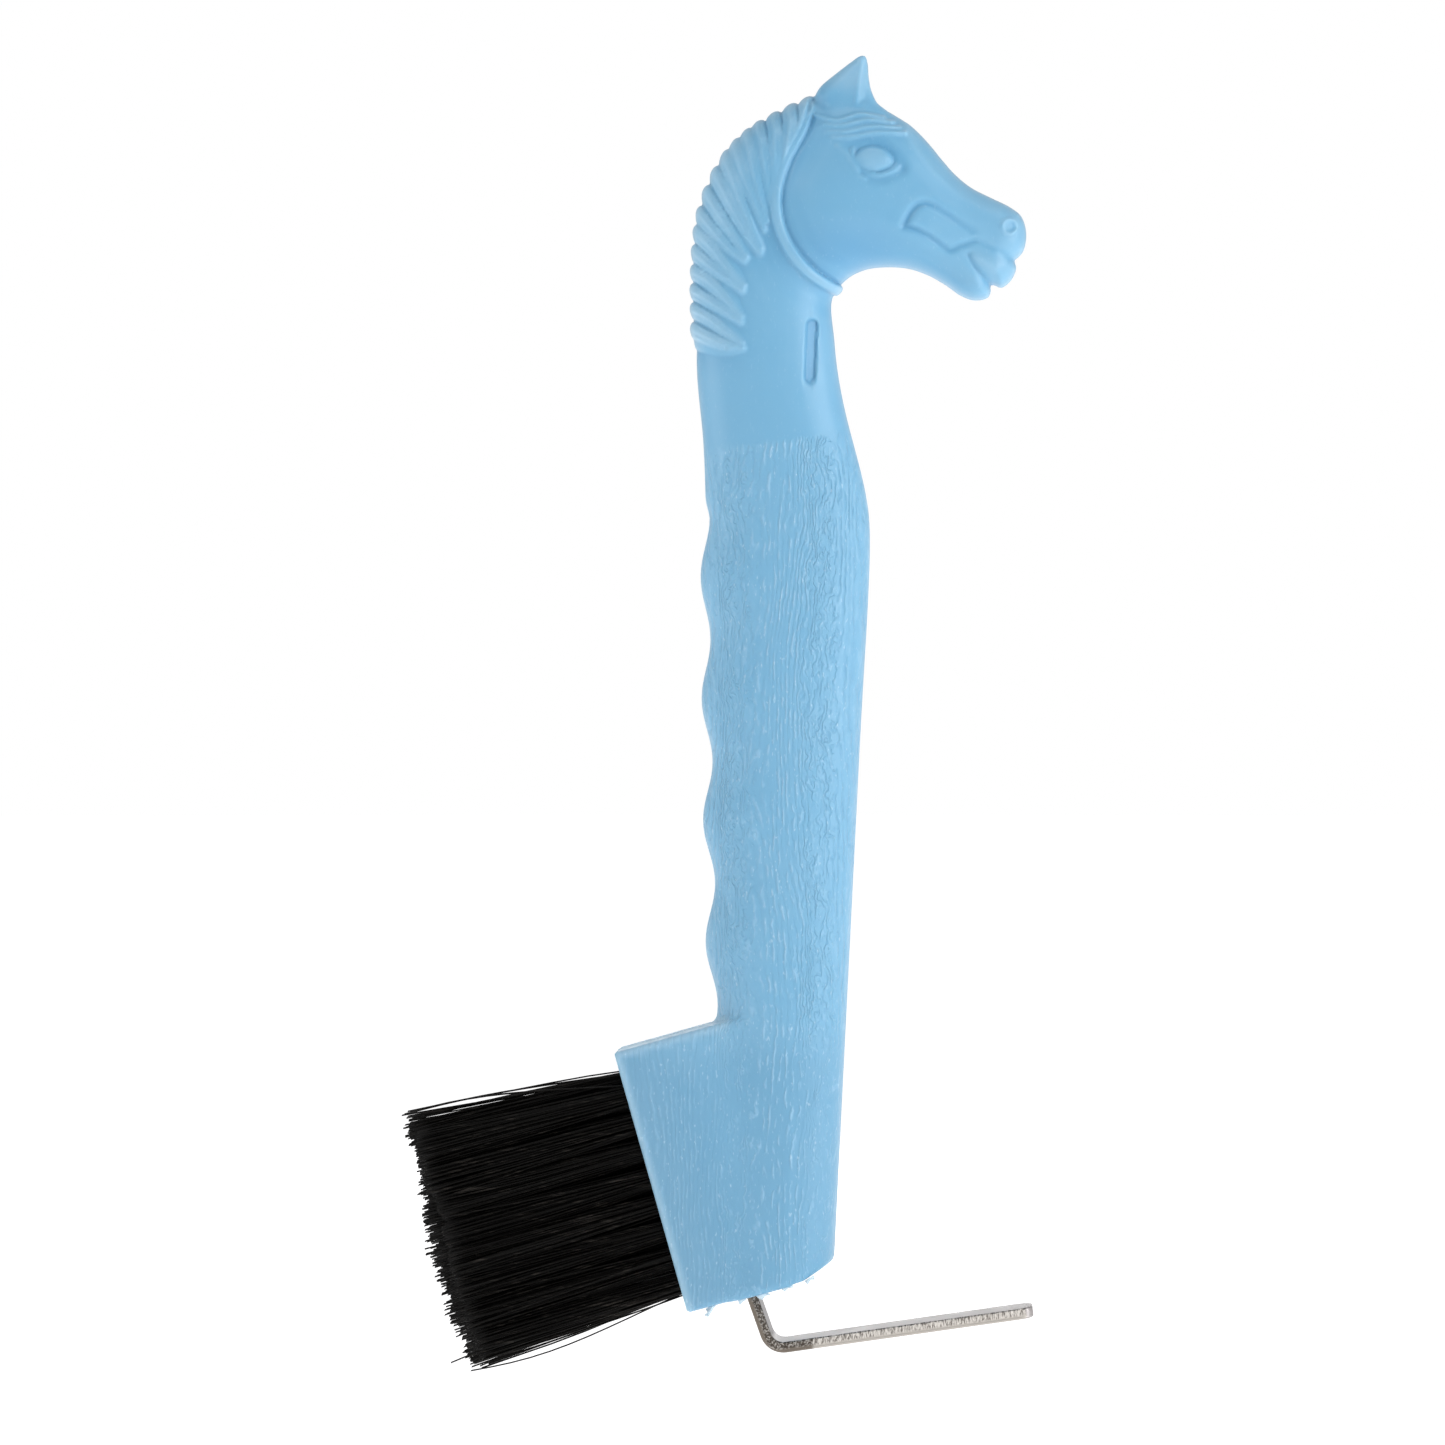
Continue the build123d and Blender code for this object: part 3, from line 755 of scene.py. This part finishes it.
def bundle(row, place):
    """One tuft: thin filaments that spread, bow a little and end unevenly."""
    rng = np.random.default_rng(RNG_SEED * 1000 + row * 10 + place)
    foot, out = tuft_axis(row, place)
    up = np.array(UP_THE_FACE)
    across = np.cross(out, up)
    length = TUFT_LENGTH - 0.3 - (1.2 if row == 1 else 0.0) + rng.normal(0, 0.35)
    lean = rng.normal(0, 0.35, 2)
    # Towards the bottom the far rows reach further and end in more ragged clumps.
    low_down = 1.0 if place < 6 else 0.25
    length += (0.0, 0.5, 1.3)[row - 1] * low_down
    steps = rng.uniform(-1.6, 1.5 * low_down + 0.3, 7) if row > 1 else rng.uniform(-0.25, 0.1, 7)
    paths = []
    for k in range(FILAMENTS):
        rho = math.sqrt((k + 0.5) / FILAMENTS)
        phi = k * 2.39996 + rng.normal(0, 0.15)
        place_2d = np.array([math.cos(phi), math.sin(phi)]) * rho
        stray = 0.55 if rng.random() < 0.10 else 0.12
        spread = place_2d + rng.normal(0, stray, 2)
        clump = int((phi / 2.1 + 2 * rho) % 7)
        reach = length * (1 - 0.030 * rho ** 2) + steps[clump] + rng.normal(0, 0.14)
        bow = rng.normal(0, 0.42 + stray, 2)
        s = np.linspace(0, 1, FILAMENT_RINGS)
        t = s[:, None]
        open_out = np.clip(t, 0, 1) ** 0.8
        offset = (place_2d * ROOT_RADIUS * (1 - open_out) + (spread * TIP_RADIUS + lean) * open_out
                  + bow * (t * t - t) + rng.normal(0, 0.10, 2) * np.sin(2.4 * math.pi * t))
        along = -HOLE_DEPTH + (reach + HOLE_DEPTH) * s
        paths.append(foot + out * along[:, None] + across * offset[:, :1] + up * offset[:, 1:])
    for stray_row, stray_place, end, bow in STRAYS:
        if (stray_row, stray_place) != (row, place):
            continue
        s = np.linspace(0, 1, 14)[:, None]
        start = foot - out * HOLE_DEPTH + up * (0.9 if place > 4 else -0.9)
        paths.append(start + (np.array(end) - start) * s + up * bow * np.sin(math.pi * s ** 1.6))
    vertices, faces, count = [], [], 0
    for path in paths:
        v, f = filament_rings(path, FILAMENT_RADIUS * rng.uniform(0.88, 1.1), rng)
        vertices.append(v)
        faces += [tuple(i + count for i in face) for face in f]
        count += len(v)
    return mesh_object(f"bristles_row{row}_{place}", np.vstack(vertices), faces)


# ---------------------------------------------------------------- materials

class Nodes:
    """Small helper that adds shader nodes and links their sockets."""

    def __init__(self, name):
        self.material = bpy.data.materials.new(name)
        self.material.use_nodes = True
        self.tree = self.material.node_tree
        self.shader = self.tree.nodes["Principled BSDF"]
        coordinates = self.tree.nodes.new("ShaderNodeTexCoord")
        self.place = self.scale(coordinates.outputs["Object"], (1 / MM, 1 / MM, 1 / MM))

    def add(self, kind, **values):
        """A new node with its own settings."""
        node = self.tree.nodes.new(kind)
        for key, value in values.items():
            setattr(node, key, value)
        return node

    def put(self, socket, value):
        """Links a socket to another, or sets its value."""
        if isinstance(value, bpy.types.NodeSocket):
            self.tree.links.new(value, socket)
        else:
            socket.default_value = value

    def math(self, operation, a, b=0.0, c=0.0, clamp=False):
        """One arithmetic step."""
        node = self.add("ShaderNodeMath", operation=operation, use_clamp=clamp)
        for socket, value in zip(node.inputs, (a, b, c)):
            self.put(socket, value)
        return node.outputs[0]

    def scale(self, vector, by):
        """A vector with each part multiplied."""
        node = self.add("ShaderNodeVectorMath", operation="MULTIPLY")
        self.put(node.inputs[0], vector)
        self.put(node.inputs[1], by)
        return node.outputs[0]

    def split(self, vector):
        """The x, y and z of a vector."""
        node = self.add("ShaderNodeSeparateXYZ")
        self.put(node.inputs[0], vector)
        return node.outputs

    def noise(self, vector, scale, detail=3.0, rough=0.5, distortion=0.0):
        """Smooth noise, 0 to 1."""
        node = self.add("ShaderNodeTexNoise")
        self.put(node.inputs["Vector"], vector)
        node.inputs["Scale"].default_value = scale
        node.inputs["Detail"].default_value = detail
        node.inputs["Roughness"].default_value = rough
        node.inputs["Distortion"].default_value = distortion
        return node.outputs["Fac"]

    def remap(self, value, low, high, to_low=0.0, to_high=1.0):
        """A value moved from one range to another and kept within it."""
        node = self.add("ShaderNodeMapRange")
        for name, v in zip(("Value", "From Min", "From Max", "To Min", "To Max"),
                           (value, low, high, to_low, to_high)):
            self.put(node.inputs[name], v)
        return node.outputs[0]

    def blend(self, share, a, b):
        """Colour a at share 0 and b at share 1."""
        node = self.add("ShaderNodeMix", data_type="RGBA")
        self.put(node.inputs[0], share)
        self.put(node.inputs[6], a)
        self.put(node.inputs[7], b)
        return node.outputs[2]

    def bump(self, height, distance, strength=1.0, after=None):
        """Relief of a height in mm, over the relief before it."""
        node = self.add("ShaderNodeBump")
        self.put(node.inputs["Height"], height)
        node.inputs["Distance"].default_value = distance * MM
        node.inputs["Strength"].default_value = strength
        if after is not None:
            self.put(node.inputs["Normal"], after)
        return node.outputs[0]

    def set(self, **values):
        """Sets or links sockets of the shader by name."""
        for key, value in values.items():
            self.put(self.shader.inputs[key.replace("_", " ")], value)


PLASTIC_DEEP = (0.160, 0.393, 0.590, 1)
PLASTIC_PALE = (0.190, 0.420, 0.612, 1)
# Painted glow: the paler tint of thin parts, edges and raised relief.
PLASTIC_PAINTED_GLOW = (0.327, 0.528, 0.678, 1)
# Painted highlight on the ridges of the grain.
PLASTIC_PAINTED_HIGHLIGHT = (0.330, 0.560, 0.750, 1)
# Painted shade in grooves, hollows, the neck slot, the lower cheek and the grain's grooves.
PLASTIC_PAINTED_SHADE = (0.085, 0.288, 0.500, 1)
PLASTIC_FLECK = (0.590, 0.755, 0.870, 1)
# Greyer, for the block, where the dark roots of the tufts are inside.
PLASTIC_BLOCK = (0.107, 0.250, 0.385, 1)
GRAIN_HEIGHT = 0.20


def wood_grain(n):
    """Ridges and grooves of the grain, the area they cover and where the block begins."""
    x, _, z = n.split(n.place)
    edge = n.math("SUBTRACT", n.math("MULTIPLY_ADD", x, 0.112, 51.4), z)
    wander = n.noise(n.place, 0.35, 2.0)
    area = n.remap(n.math("MULTIPLY_ADD", wander, 2.0, n.math("SUBTRACT", edge, 1.0)), -0.4, 0.6)

    # Flowing lines across x; a wander bends them, most in two worm-like bands.
    drift = n.noise(n.scale(n.place, (0.060, 0.06, 0.022)), 1.0, 2.0, 0.5)
    wobble = n.noise(n.scale(n.place, (0.70, 0.5, 0.46)), 1.0, 2.0, 0.6)
    off = n.math("ABSOLUTE", n.math("ADD", x, 0.8))
    band = n.math("MULTIPLY", n.remap(off, 3.0, 5.5), n.remap(off, 10.5, 8.5))
    patch = n.remap(n.noise(n.scale(n.place, (0.30, 0.3, 0.13)), 1.0, 2.0), 0.35, 0.60)
    bend = n.math("MULTIPLY_ADD", n.math("MULTIPLY", band, patch), 3.4, 0.9)
    phase = n.math("MULTIPLY_ADD", x, 1.02, n.math("MULTIPLY", drift, 13.0))
    phase = n.math("MULTIPLY_ADD", wobble, bend, phase)
    line = n.math("SINE", n.math("MULTIPLY", phase, 2 * math.pi))

    # Ridges come in dashes, strongest in the middle; grooves are strongest at the sides.
    side = n.remap(off, 2.0, 6.0)
    dash = n.remap(n.noise(n.scale(n.place, (1.15, 0.8, 0.40)), 1.0, 1.0), 0.46, 0.62)
    ridges = n.math("MULTIPLY", n.math("POWER", n.remap(line, -0.2, 1.0), 1.6), dash)
    ridges = n.math("MULTIPLY", ridges, area)
    ridges = n.math("MULTIPLY", ridges, n.math("MULTIPLY_ADD", side, -0.55, 1.0))
    on_block = n.remap(z, -44.0, -52.0)
    broken = n.remap(n.noise(n.scale(n.place, (0.85, 0.8, 0.42)), 1.0, 1.0), 0.36, 0.54, 0.25, 1.0)
    grooves = n.math("POWER", n.remap(line, 0.2, -1.0), 1.6)
    grooves = n.math("MULTIPLY", grooves, n.math("MULTIPLY_ADD", dash, -0.55, 1.0))
    grooves = n.math("MULTIPLY", grooves, broken)
    grooves = n.math("MULTIPLY", grooves, n.math("MULTIPLY_ADD", on_block, -0.75, 1.0))
    grooves = n.math("MULTIPLY", grooves, area)
    grooves = n.math("MULTIPLY", grooves, n.math("MULTIPLY_ADD", side, 0.6, 0.4))
    return ridges, grooves, area, on_block


def plastic_material():
    """Light blue moulded plastic with a wood-grain texture on grip and block, painted paler as glow and
    highlight on thin and raised parts and darker as shade in hollows.
    """
    n = Nodes("light_blue_plastic")
    x, _, z = n.split(n.place)
    ridges, grooves, grain_area, on_block = wood_grain(n)
    grain = n.math("SUBTRACT", ridges, grooves)
    skin = n.noise(n.place, 3.2, 3.0, 0.6)
    broad = n.noise(n.place, 0.09, 2.0, 0.5)
    fleck = n.remap(n.noise(n.scale(n.place, (2.6, 2.6, 1.1)), 1.0, 1.0), 0.66, 0.76)
    fleck = n.math("MULTIPLY", fleck, n.math("MULTIPLY_ADD", grain_area, 0.75, 0.25))
    on_grip = n.math("MULTIPLY", grain_area, n.remap(z, -52.0, -44.0))
    pale = n.math("MULTIPLY_ADD", on_grip, 0.40, n.remap(broad, 0.3, 0.7, 0.0, 0.50))
    colour = n.blend(pale, PLASTIC_DEEP, PLASTIC_PALE)
    glow_and_shade = n.add("ShaderNodeAttribute", attribute_name="glow_and_shade").outputs["Fac"]
    face_x = BLOCK_LOW[0] + BLOCK_LOW[1] * math.tan(BLOCK_LEAN)
    from_face = n.math("SUBTRACT", n.math("MULTIPLY_ADD", z, math.tan(BLOCK_LEAN), x), face_x)
    greyed = n.math("MULTIPLY", on_block, n.remap(from_face, 3.0, 15.0, 0.52, 0.24))
    colour = n.blend(greyed, colour, PLASTIC_BLOCK)
    # Painted glow and highlight above 0, the flash's whitish colour above 1, painted shade below 0.
    colour = n.blend(n.remap(glow_and_shade, 0.0, 1.0), colour, PLASTIC_PAINTED_GLOW)
    colour = n.blend(n.remap(glow_and_shade, 1.0, 2.0), colour, PLASTIC_FLECK)
    colour = n.blend(n.remap(glow_and_shade, 0.0, -1.0), colour, PLASTIC_PAINTED_SHADE)
    # Painted highlight on the grain's ridges and painted shade in its grooves.
    colour = n.blend(n.math("MULTIPLY", ridges, 0.55), colour, PLASTIC_PAINTED_HIGHLIGHT)
    colour = n.blend(n.math("MULTIPLY", grooves, 0.18), colour, PLASTIC_PAINTED_SHADE)
    colour = n.blend(n.math("MULTIPLY", fleck, 0.32), colour, PLASTIC_FLECK)
    rough = n.math("MULTIPLY_ADD", grain_area, 0.07, n.remap(skin, 0.3, 0.7, 0.29, 0.36))
    rough = n.math("MULTIPLY_ADD", ridges, -0.05, rough)
    relief = n.bump(grain, GRAIN_HEIGHT, 0.72)
    relief = n.bump(skin, 0.02, 0.5, relief)
    n.set(Base_Color=colour, Roughness=rough, Normal=relief, IOR=1.46, Specular_IOR_Level=0.50)
    n.set(Subsurface_Weight=0.25, Subsurface_Radius=(0.7, 0.9, 1.0), Subsurface_Scale=0.0016)
    n.set(Sheen_Weight=0.08, Sheen_Roughness=0.40)
    return n.material


def bristle_material():
    """Black nylon, duller in places; paler streaks along the filaments are painted highlights."""
    n = Nodes("black_nylon")
    painted_sheen = n.noise(n.scale(n.place, (0.05, 1.8, 1.8)), 1.0, 3.0, 0.6)
    fine = n.noise(n.place, 4.0, 2.0, 0.5)
    # Paler streaks along the filaments: painted highlights.
    colour = n.blend(n.remap(painted_sheen, 0.56, 0.80), (0.0018, 0.0015, 0.0012, 1), (0.034, 0.030, 0.026, 1))
    n.set(Base_Color=colour, Roughness=n.remap(fine, 0.3, 0.7, 0.34, 0.52), IOR=1.5)
    n.set(Normal=n.bump(fine, 0.015, 0.5), Specular_IOR_Level=0.10)
    return n.material


# Where the middle lines of shank and arm meet, and their angles.
STRIP_CORNER = (-2.13, -99.87)
SHANK_LEAN, ARM_RISE = math.radians(19.5), math.radians(8.4)


def steel_material():
    """Nickel-plated strip: pale rolled faces; sheared edges dark and mottled on the shank,
    with bright upright marks along the arm."""
    n = Nodes("plated_steel")
    x, y, z = n.split(n.place)
    marks = n.noise(n.scale(n.place, (4.2, 0.3, 1.0)), 1.0, 3.0, 0.65)
    mottle = n.noise(n.scale(n.place, (2.6, 0.3, 2.6)), 1.0, 3.0, 0.7)
    cloud = n.noise(n.place, 0.28, 3.0, 0.55)
    pit = n.noise(n.place, 2.4, 2.0, 0.5)
    sheared = n.remap(n.math("ABSOLUTE", y), 3.60, 3.85)
    arm = n.remap(x, 4.6, 5.2)
    rough_cut = n.math("ADD", n.math("MULTIPLY", marks, arm),
                       n.math("MULTIPLY", mottle, n.math("SUBTRACT", 1.0, arm)))
    light_share = n.math("ADD", n.remap(rough_cut, 0.40, 0.60),
                         n.math("MULTIPLY_ADD", arm, 0.62, -0.44), clamp=True)

    # Smooth burnished band along the outer side of shank, bend and arm.
    from_x = n.math("SUBTRACT", x, STRIP_CORNER[0])
    from_z = n.math("SUBTRACT", z, STRIP_CORNER[1])
    over_arm = n.math("MULTIPLY_ADD", from_z, math.cos(ARM_RISE),
                      n.math("MULTIPLY", from_x, -math.sin(ARM_RISE)))
    off_shank = n.math("MULTIPLY_ADD", from_x, math.cos(SHANK_LEAN),
                       n.math("MULTIPLY", from_z, math.sin(SHANK_LEAN)))
    across = n.math("SMOOTH_MIN", over_arm, off_shank, 2.4)
    burnish = n.remap(across, -0.05, -0.40)
    fringe = n.remap(across, 0.60, 0.80)
    plain = n.blend(n.remap(cloud, 0.35, 0.7), (0.37, 0.348, 0.345, 1), (0.48, 0.455, 0.45, 1))
    cut = n.blend(light_share, (0.078, 0.066, 0.055, 1), (0.62, 0.585, 0.545, 1))
    worn = n.blend(arm, (0.18, 0.155, 0.13, 1), (0.44, 0.41, 0.375, 1))
    cut = n.blend(burnish, cut, worn)
    cut = n.blend(n.math("MULTIPLY", fringe, n.remap(mottle, 0.55, 0.42)), cut, (0.08, 0.072, 0.065, 1))
    colour = n.blend(sheared, plain, cut)
    rough = n.math("ADD", n.remap(cloud, 0.3, 0.7, 0.36, 0.46), n.math("MULTIPLY", sheared, -0.06))
    torn = n.math("MULTIPLY", sheared, n.math("SUBTRACT", 1.0, burnish))
    relief = n.bump(n.math("MULTIPLY", rough_cut, torn), 0.30, 0.9)
    relief = n.bump(pit, 0.02, 0.4, relief)
    n.set(Base_Color=colour, Metallic=1.0, Roughness=rough, Normal=relief)
    return n.material


def wire_material():
    """Bright wire of the anchors that hold the tufts in their holes."""
    n = Nodes("anchor_wire")
    drawn = n.noise(n.scale(n.place, (0.4, 3.0, 3.0)), 1.0, 2.0)
    colour = n.blend(n.remap(drawn, 0.3, 0.7), (0.55, 0.52, 0.46, 1), (0.68, 0.64, 0.56, 1))
    n.set(Base_Color=colour, Metallic=1.0, Roughness=n.remap(drawn, 0.3, 0.7, 0.28, 0.42))
    n.set(Normal=n.bump(drawn, 0.02, 0.5))
    return n.material


def floor_material():
    """Pale matt floor that also glows a little, so it stays white under the part."""
    n = Nodes("pale_floor")
    soft = n.noise(n.place, 0.004, 2.0)
    n.set(Base_Color=n.blend(soft, (0.84, 0.84, 0.845, 1), (0.87, 0.87, 0.87, 1)), Roughness=0.9)
    n.set(Emission_Color=(1, 1, 1, 1), Emission_Strength=0.65)
    return n.material


# ---------------------------------------------------------------- studio

# The world is white to the camera; it lights the part by FRONT_LEVEL from the camera's side
# and by AROUND_LEVEL from the sides and behind.
FRONT_LEVEL, AROUND_LEVEL = 0.27, 0.50
FLOOR_DROP = 0.09
FLOOR_RADIUS = 7.0
# Soft boxes: (turn from the camera side, height angle, distance m, width m, height m, W).
SOFT_BOXES = [
    (-78, 14, 0.9, 0.60, 0.7, 2.0),
    (64, 14, 0.9, 0.70, 0.7, 4.8),
    (0, 66, 1.0, 0.6, 0.35, 1.5),
    (-34, 34, 0.9, 0.12, 0.26, 0.60),
    (178, 2.7, 1.5, 0.6, 0.18, 1.40),
]


def direction(turn, height):
    """Unit vector from its turn about z, away from straight in front, and its height angle."""
    return Vector((math.sin(turn) * math.cos(height), -math.cos(turn) * math.cos(height), math.sin(height)))


def facing(position, target):
    """Rotation that points an object's own -Z from position at target."""
    return (target - position).to_track_quat("-Z", "Y").to_euler()


def make_world(scene):
    """A world that is white to the camera and lights the part by direction."""
    world = bpy.data.worlds.new("soft_white")
    scene.world = world
    world.use_nodes = True
    tree = world.node_tree
    way = tree.nodes.new("ShaderNodeTexCoord")
    split = tree.nodes.new("ShaderNodeSeparateXYZ")
    level = tree.nodes.new("ShaderNodeMapRange")
    level.interpolation_type = "SMOOTHSTEP"
    for socket, value in zip(level.inputs[1:5], (-0.95, -0.15, FRONT_LEVEL, AROUND_LEVEL)):
        socket.default_value = value
    tree.links.new(way.outputs["Generated"], split.inputs[0])
    tree.links.new(split.outputs[1], level.inputs[0])
    rays = tree.nodes.new("ShaderNodeLightPath")
    strength = tree.nodes.new("ShaderNodeMath")
    strength.operation = "MAXIMUM"
    tree.links.new(level.outputs[0], strength.inputs[0])
    tree.links.new(rays.outputs["Is Camera Ray"], strength.inputs[1])
    tree.links.new(strength.outputs[0], tree.nodes["Background"].inputs["Strength"])
    tree.nodes["Background"].inputs["Color"].default_value = (1, 1, 1, 1)


def make_camera(scene):
    """The camera at the photograph's angle."""
    camera = bpy.data.objects.new("camera", bpy.data.cameras.new("camera"))
    scene.collection.objects.link(camera)
    camera.data.lens = CAMERA_LENS
    camera.data.sensor_width = 36.0
    camera.data.clip_end = 40.0
    camera.location = AIM + direction(CAMERA_TURN, CAMERA_RAISE) * CAMERA_DISTANCE
    camera.rotation_euler = facing(camera.location, AIM)
    scene.camera = camera


def make_soft_boxes(scene):
    """Large area lights around the part, out of the camera's sight."""
    for number, (turn, height, away, width, tall, watts) in enumerate(SOFT_BOXES):
        light = bpy.data.lights.new(f"soft_box_{number}", "AREA")
        light.shape = "RECTANGLE"
        light.size, light.size_y, light.energy = width, tall, watts
        lamp = bpy.data.objects.new(light.name, light)
        scene.collection.objects.link(lamp)
        lamp.location = AIM + direction(math.radians(turn), math.radians(height)) * away
        lamp.rotation_euler = facing(lamp.location, AIM)
        lamp.visible_camera = False


def make_floor():
    """A round pale floor below the part."""
    turns = np.linspace(0, 2 * math.pi, 96, endpoint=False)
    low = CAD_BOX[0][2] - FLOOR_DROP
    ring = [(FLOOR_RADIUS * math.cos(t) / MM, FLOOR_RADIUS * math.sin(t) / MM, low / MM) for t in turns]
    floor = mesh_object("floor", ring, [tuple(range(len(ring)))], smooth=False)
    floor.data.materials.append(floor_material())


# ---------------------------------------------------------------- assembly

def make_studio():
    """World, camera, lights and floor."""
    scene = bpy.context.scene
    scene.view_settings.view_transform = "Standard"
    make_world(scene)
    make_camera(scene)
    make_soft_boxes(scene)
    make_floor()


def dress(piece, material):
    """Gives a piece its material."""
    piece.data.materials.clear()
    piece.data.materials.append(material)


make_studio()

handle = make_handle()
dress(handle, plastic_material())
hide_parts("handle")
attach(handle, "root")

nylon = bristle_material()
for row in range(1, TUFT_ROWS + 1):
    for place in range(1, TUFTS_PER_ROW + 1):
        tuft = bundle(row, place)
        dress(tuft, nylon)
        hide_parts(f"tuft_row{row}_{place}")
        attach(tuft, "root")

dress(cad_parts["pick"], steel_material())
dress(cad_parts["tuft_anchors"], wire_material())
